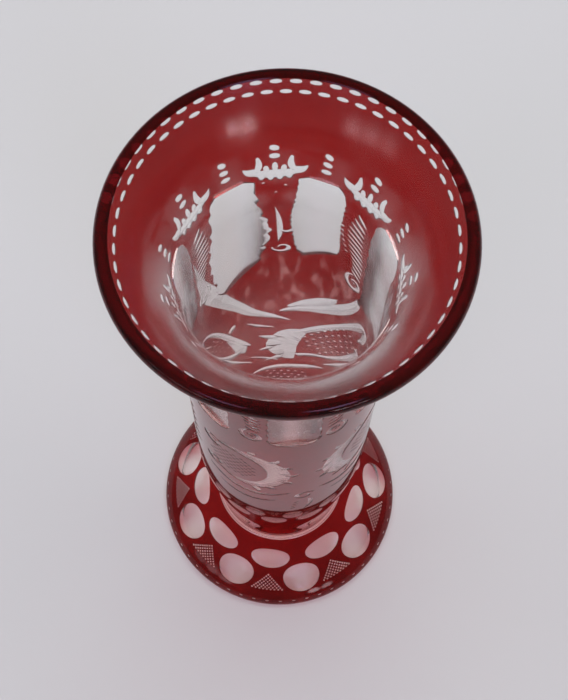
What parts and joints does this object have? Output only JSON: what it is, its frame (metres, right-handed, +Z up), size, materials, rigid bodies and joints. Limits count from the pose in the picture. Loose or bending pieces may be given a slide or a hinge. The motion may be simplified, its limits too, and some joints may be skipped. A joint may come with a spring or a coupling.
{
  "type": "footed glass vase",
  "caption": "Tall flared glass vase on a domed foot, ruby layer over clear glass, with ground windows, rim dashes and lens cuts.",
  "frame": {"origin": "on the table, under the middle of the foot, which is the lowest face of the vase", "axes": "+Z up along the vase's axis, -Y towards the picture's camera, +X to the right"},
  "size_m": [0.1004, 0.1006, 0.257],
  "materials": {
    "clear_glass": "clear polished lead glass, with cuts left bright",
    "ruby_glass": "deep ruby red glass layer, polished outside"
  },
  "bodies": {
    "root": {"clear_bowl": "clear_glass", "ruby_bowl_layer": "ruby_glass", "foot_joint": "clear_glass", "clear_foot": "clear_glass", "ruby_foot_layer": "ruby_glass"}
  },
  "joints": []
}
